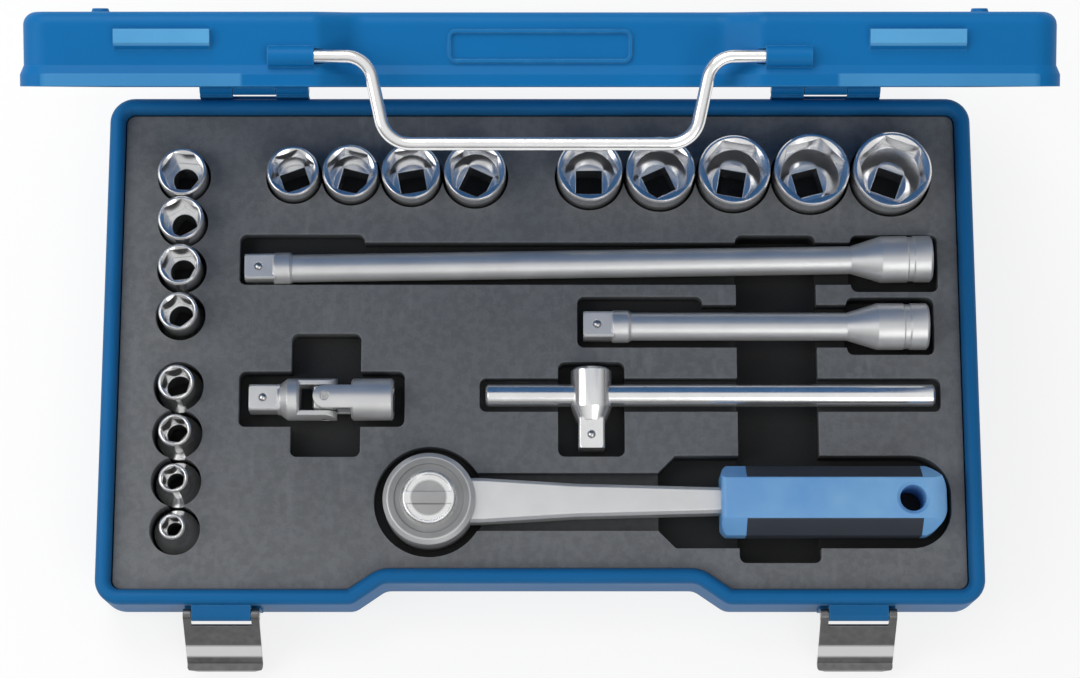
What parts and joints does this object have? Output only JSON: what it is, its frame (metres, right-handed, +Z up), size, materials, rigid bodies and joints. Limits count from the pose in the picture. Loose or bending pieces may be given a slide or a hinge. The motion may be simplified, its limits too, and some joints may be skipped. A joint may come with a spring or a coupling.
{
  "type": "socket wrench set in case",
  "caption": "Socket wrench set in a hinged blue sheet-steel case: hexagon sockets, extension bars, universal joint, sliding T-bar and reversible ratchet in a moulded tray.",
  "frame": {"origin": "middle of the flat underside of the case", "axes": "+X to the right along the case, +Y to the hinges at the rear, +Z up"},
  "size_m": [0.316, 0.2311, 0.2148],
  "materials": {
    "blue_enamel": "semi-gloss baked enamel on sheet steel",
    "tray_plastic": "grained vacuum-formed plastic",
    "polished_chrome": "polished chrome plate on vanadium steel",
    "satin_chrome": "satin chrome plate on vanadium steel",
    "zinc_plate": "zinc-plated spring sheet",
    "bright_steel": "bright turned steel",
    "spring_steel": "oiled spring steel",
    "grip_blue": "moulded blue plastic",
    "grip_soft": "soft overmoulded side panels"
  },
  "bodies": {
    "case": {"base_shell": "blue_enamel", "tool_tray": "tray_plastic", "hinge_leaves_base": "blue_enamel", "hinge_pins": "bright_steel", "base_rivets_left": "bright_steel", "base_rivets_right": "bright_steel", "latch_brackets": "blue_enamel", "latch_pins": "bright_steel"},
    "lid": {"lid_shell": "blue_enamel", "hinge_leaves_lid": "blue_enamel", "lid_rivets_left": "bright_steel", "lid_rivets_right": "bright_steel"},
    "handle": {"carry_handle": "polished_chrome"},
    "latch_left": {"latch_lever_left": "zinc_plate"},
    "latch_right": {"latch_lever_right": "zinc_plate"},
    "socket_06": {"socket_06_mm": "polished_chrome"},
    "socket_07": {"socket_07_mm": "polished_chrome"},
    "socket_08": {"socket_08_mm": "polished_chrome"},
    "socket_09": {"socket_09_mm": "polished_chrome"},
    "socket_10": {"socket_10_mm": "polished_chrome"},
    "socket_11": {"socket_11_mm": "polished_chrome"},
    "socket_12": {"socket_12_mm": "polished_chrome"},
    "socket_13": {"socket_13_mm": "polished_chrome"},
    "socket_14": {"socket_14_mm": "polished_chrome"},
    "socket_15": {"socket_15_mm": "polished_chrome"},
    "socket_16": {"socket_16_mm": "polished_chrome"},
    "socket_17": {"socket_17_mm": "polished_chrome"},
    "socket_18": {"socket_18_mm": "polished_chrome"},
    "socket_19": {"socket_19_mm": "polished_chrome"},
    "socket_20": {"socket_20_mm": "polished_chrome"},
    "socket_21": {"socket_21_mm": "polished_chrome"},
    "socket_22": {"socket_22_mm": "polished_chrome"},
    "long_extension": {"long_extension_bar": "satin_chrome", "long_extension_spring": "spring_steel"},
    "long_extension_detent": {"long_extension_ball": "bright_steel"},
    "short_extension": {"short_extension_bar": "satin_chrome", "short_extension_spring": "spring_steel"},
    "short_extension_detent": {"short_extension_ball": "bright_steel"},
    "t_bar": {"t_bar": "polished_chrome"},
    "t_head": {"t_head": "polished_chrome", "t_head_spring": "spring_steel"},
    "t_head_detent": {"t_head_ball": "bright_steel"},
    "universal_joint": {"joint_socket_yoke": "satin_chrome", "joint_upright_pin": "bright_steel"},
    "joint_cross": {"joint_cross_block": "bright_steel", "joint_side_pins": "bright_steel"},
    "joint_drive": {"joint_drive_yoke": "satin_chrome", "joint_spring": "spring_steel"},
    "joint_detent": {"joint_ball": "bright_steel"},
    "ratchet": {"ratchet_body": "satin_chrome", "ratchet_grip": "grip_blue", "ratchet_grip_inlays": "grip_soft", "ratchet_cover_plate": "bright_steel", "ratchet_retaining_ring": "spring_steel"},
    "ratchet_drive": {"ratchet_drive_wheel": "polished_chrome", "ratchet_ball_spring": "spring_steel"},
    "ratchet_detent": {"ratchet_ball": "bright_steel"},
    "ratchet_disc": {"ratchet_reversing_disc": "polished_chrome"},
    "ratchet_pawl": {"ratchet_pawl": "spring_steel"}
  },
  "joints": [
    {"name": "lid_hinge", "type": "hinge", "parent": "case", "child": "lid", "pos_m": [0, 0.0971, 0.02715], "axis": [-1, 0, 0], "range_deg": [-72.4, 107.6]},
    {"name": "handle_swing", "type": "hinge", "parent": "lid", "child": "handle", "pos_m": [0, 0.04855, 0.21045], "axis": [-1, 0, 0], "range_deg": [0, 110]},
    {"name": "latch_left_swing", "type": "hinge", "parent": "case", "child": "latch_left", "pos_m": [-0.1129, -0.0969, 0.0229], "axis": [-1, 0, 0], "range_deg": [0, 141]},
    {"name": "latch_right_swing", "type": "hinge", "parent": "case", "child": "latch_right", "pos_m": [0.1129, -0.0969, 0.0229], "axis": [-1, 0, 0], "range_deg": [0, 141]},
    {"name": "socket_06_lift", "type": "slide", "parent": "case", "child": "socket_06", "axis": [0, 0, 1], "range_m": [0, 0.045]},
    {"name": "socket_07_lift", "type": "slide", "parent": "case", "child": "socket_07", "axis": [0, 0, 1], "range_m": [0, 0.045]},
    {"name": "socket_08_lift", "type": "slide", "parent": "case", "child": "socket_08", "axis": [0, 0, 1], "range_m": [0, 0.045]},
    {"name": "socket_09_lift", "type": "slide", "parent": "case", "child": "socket_09", "axis": [0, 0, 1], "range_m": [0, 0.045]},
    {"name": "socket_10_lift", "type": "slide", "parent": "case", "child": "socket_10", "axis": [0, 0, 1], "range_m": [0, 0.045]},
    {"name": "socket_11_lift", "type": "slide", "parent": "case", "child": "socket_11", "axis": [0, 0, 1], "range_m": [0, 0.045]},
    {"name": "socket_12_lift", "type": "slide", "parent": "case", "child": "socket_12", "axis": [0, 0, 1], "range_m": [0, 0.045]},
    {"name": "socket_13_lift", "type": "slide", "parent": "case", "child": "socket_13", "axis": [0, 0, 1], "range_m": [0, 0.045]},
    {"name": "socket_14_lift", "type": "slide", "parent": "case", "child": "socket_14", "axis": [0, 0, 1], "range_m": [0, 0.045]},
    {"name": "socket_15_lift", "type": "slide", "parent": "case", "child": "socket_15", "axis": [0, 0, 1], "range_m": [0, 0.045]},
    {"name": "socket_16_lift", "type": "slide", "parent": "case", "child": "socket_16", "axis": [0, 0, 1], "range_m": [0, 0.045]},
    {"name": "socket_17_lift", "type": "slide", "parent": "case", "child": "socket_17", "axis": [0, 0, 1], "range_m": [0, 0.045]},
    {"name": "socket_18_lift", "type": "slide", "parent": "case", "child": "socket_18", "axis": [0, 0, 1], "range_m": [0, 0.045]},
    {"name": "socket_19_lift", "type": "slide", "parent": "case", "child": "socket_19", "axis": [0, 0, 1], "range_m": [0, 0.045]},
    {"name": "socket_20_lift", "type": "slide", "parent": "case", "child": "socket_20", "axis": [0, 0, 1], "range_m": [0, 0.045]},
    {"name": "socket_21_lift", "type": "slide", "parent": "case", "child": "socket_21", "axis": [0, 0, 1], "range_m": [0, 0.045]},
    {"name": "socket_22_lift", "type": "slide", "parent": "case", "child": "socket_22", "axis": [0, 0, 1], "range_m": [0, 0.045]},
    {"name": "long_extension_lift", "type": "slide", "parent": "case", "child": "long_extension", "axis": [0, 0, 1], "range_m": [0, 0.045]},
    {"name": "short_extension_lift", "type": "slide", "parent": "case", "child": "short_extension", "axis": [0, 0, 1], "range_m": [0, 0.045]},
    {"name": "t_bar_lift", "type": "slide", "parent": "case", "child": "t_bar", "axis": [0, 0, 1], "range_m": [0, 0.045]},
    {"name": "universal_joint_lift", "type": "slide", "parent": "case", "child": "universal_joint", "axis": [0, 0, 1], "range_m": [0, 0.045]},
    {"name": "ratchet_lift", "type": "slide", "parent": "case", "child": "ratchet", "axis": [0, 0, 1], "range_m": [0, 0.045]},
    {"name": "t_head_slide", "type": "slide", "parent": "t_bar", "child": "t_head", "axis": [1, 0, 0], "range_m": [-0.0042, 0.0042]},
    {"name": "joint_sideways", "type": "hinge", "parent": "universal_joint", "child": "joint_cross", "pos_m": [-0.0773, -0.0187, 0.021], "axis": [0, 0, 1], "range_deg": [-9, 9]},
    {"name": "joint_upward", "type": "hinge", "parent": "joint_cross", "child": "joint_drive", "pos_m": [-0.0773, -0.0187, 0.021], "axis": [0, 1, 0], "range_deg": [0, 45]},
    {"name": "ratchet_drive_spin", "type": "hinge", "parent": "ratchet", "child": "ratchet_drive", "pos_m": [-0.0395, -0.0562, 0.022], "axis": [0, 0, 1], "continuous": true},
    {"name": "ratchet_disc_turn", "type": "hinge", "parent": "ratchet", "child": "ratchet_disc", "pos_m": [-0.0395, -0.0562, 0.022], "axis": [0, 0, 1], "range_deg": [-40, 40]},
    {"name": "ratchet_pawl_rock", "type": "hinge", "parent": "ratchet", "child": "ratchet_pawl", "pos_m": [-0.0255, -0.0562, 0.022], "axis": [0, 0, 1], "range_deg": [-6, 6]},
    {"name": "long_extension_ball_press", "type": "slide", "parent": "long_extension", "child": "long_extension_detent", "axis": [0, 0, 1], "range_m": [-0.0006, 0], "stiffness_N_per_m": 800, "springref_m": 0.002, "deforming": ["long_extension_spring"]},
    {"name": "short_extension_ball_press", "type": "slide", "parent": "short_extension", "child": "short_extension_detent", "axis": [0, 0, 1], "range_m": [-0.0006, 0], "stiffness_N_per_m": 800, "springref_m": 0.002, "deforming": ["short_extension_spring"]},
    {"name": "t_head_ball_press", "type": "slide", "parent": "t_head", "child": "t_head_detent", "axis": [0, 0, 1], "range_m": [-0.0006, 0], "stiffness_N_per_m": 800, "springref_m": 0.002, "deforming": ["t_head_spring"]},
    {"name": "joint_ball_press", "type": "slide", "parent": "joint_drive", "child": "joint_detent", "axis": [0, 0, 1], "range_m": [-0.0006, 0], "stiffness_N_per_m": 800, "springref_m": 0.002, "deforming": ["joint_spring"]},
    {"name": "ratchet_ball_press", "type": "slide", "parent": "ratchet_drive", "child": "ratchet_detent", "axis": [-1, 0, 0], "range_m": [-0.0006, 0], "stiffness_N_per_m": 800, "springref_m": 0.002, "deforming": ["ratchet_ball_spring"]}
  ],
  "couplings": [
    {"joint": "ratchet_pawl_rock", "follows": "ratchet_disc_turn", "ratio": 0.15}
  ]
}
